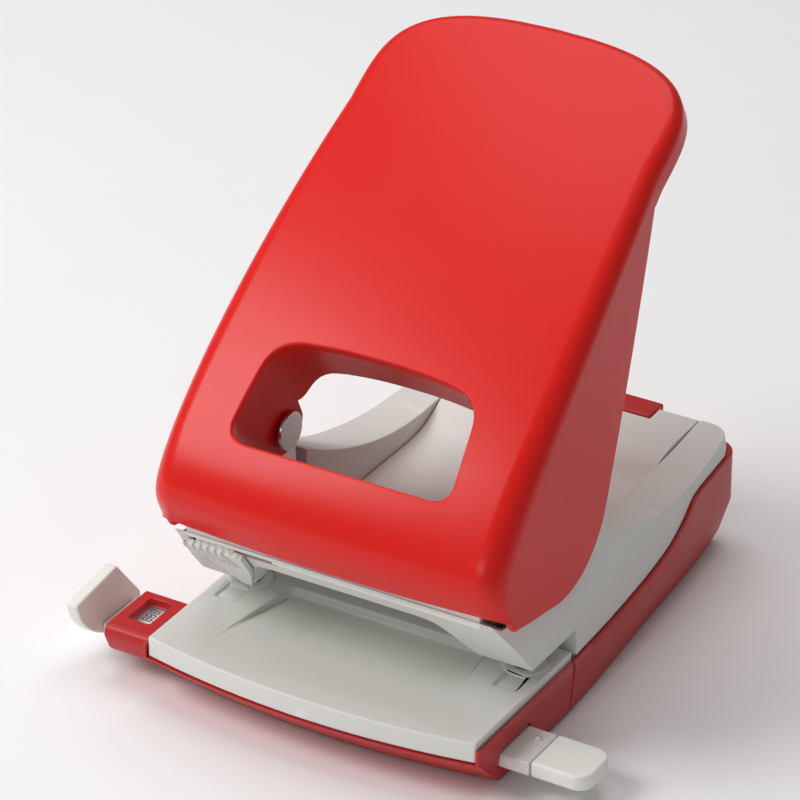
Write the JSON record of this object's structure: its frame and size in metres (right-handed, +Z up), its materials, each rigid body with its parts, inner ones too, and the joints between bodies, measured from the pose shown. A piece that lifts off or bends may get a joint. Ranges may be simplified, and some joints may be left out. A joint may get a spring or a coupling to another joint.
{
  "type": "hole punch",
  "caption": "Desk hole punch for two holes, with a long tilting lever with a window, a pull-out paper guide and a chad tray.",
  "frame": {"origin": "middle of the footprint, at the height of the feet", "axes": "+Z up, +X to the user's right, paper goes in along +Y from the front"},
  "size_m": [0.144, 0.1512, 0.1494],
  "materials": {
    "red_plastic": "satin moulded plastic",
    "red_lacquer": "glossy lacquer",
    "grey_plastic": "fine satin",
    "pale_plastic": "satin",
    "clear_plastic": "clear moulded plastic",
    "steel": "ground",
    "brass": "turned",
    "rubber": "matt"
  },
  "bodies": {
    "base": {"front_base": "red_plastic", "front_pad": "rubber", "paper_tray": "grey_plastic", "die_plate": "steel", "housing": "grey_plastic", "rear_cover": "grey_plastic", "scale_lens": "clear_plastic", "pivot_bracket_left": "steel", "pivot_bracket_right": "steel", "pivot_bush_left": "brass", "pivot_bush_right": "brass", "bracket_screw_left_1": "steel", "bracket_screw_left_2": "steel", "bracket_screw_right_1": "steel", "bracket_screw_right_2": "steel"},
    "handle": {"handle": "red_lacquer", "pivot_pin_left": "steel", "pivot_pin_right": "steel", "press_cam_left": "steel", "press_cam_right": "steel"},
    "punch_left": {"punch_left": "steel", "return_spring_left": "steel"},
    "punch_right": {"punch_right": "steel", "return_spring_right": "steel"},
    "lock_slider": {"lock_slider": "grey_plastic"},
    "paper_guide": {"guide_rail": "grey_plastic", "guide_stop": "pale_plastic", "guide_end": "pale_plastic", "scale_strip": "pale_plastic"},
    "chad_tray": {"chad_tray": "red_plastic", "rear_pad_left": "rubber", "rear_pad_right": "rubber"},
    "tray_latch": {"tray_latch": "red_plastic"}
  },
  "joints": [
    {"name": "handle_hinge", "type": "hinge", "parent": "base", "child": "handle", "pos_m": [0, -0.0309, 0.063], "axis": [-1, 0, 0], "range_deg": [0, 52], "stiffness_Nm_per_rad": 0.6, "springref_deg": -57.3},
    {"name": "punch_left_slide", "type": "slide", "parent": "base", "child": "punch_left", "axis": [0, 0, -1], "range_m": [0, 0.0112], "deforming": ["return_spring_left"]},
    {"name": "punch_right_slide", "type": "slide", "parent": "base", "child": "punch_right", "axis": [0, 0, -1], "range_m": [0, 0.0112], "deforming": ["return_spring_right"]},
    {"name": "lock_slide", "type": "slide", "parent": "base", "child": "lock_slider", "axis": [1, 0, 0], "range_m": [0, 0.008]},
    {"name": "guide_slide", "type": "slide", "parent": "base", "child": "paper_guide", "axis": [-1, 0, 0], "range_m": [0, 0.08]},
    {"name": "chad_tray_slide", "type": "slide", "parent": "base", "child": "chad_tray", "axis": [0, 1, 0], "range_m": [0, 0.06]},
    {"name": "tray_latch_hinge", "type": "hinge", "parent": "chad_tray", "child": "tray_latch", "pos_m": [0, 0.0749, 0.02], "axis": [-1, 0, 0], "range_deg": [0, 10], "stiffness_Nm_per_rad": 0.2, "springref_deg": -5.73}
  ],
  "couplings": [
    {"joint": "punch_left_slide", "follows": "handle_hinge", "m_per_rad": 0.01212},
    {"joint": "punch_right_slide", "follows": "handle_hinge", "m_per_rad": 0.01212}
  ]
}
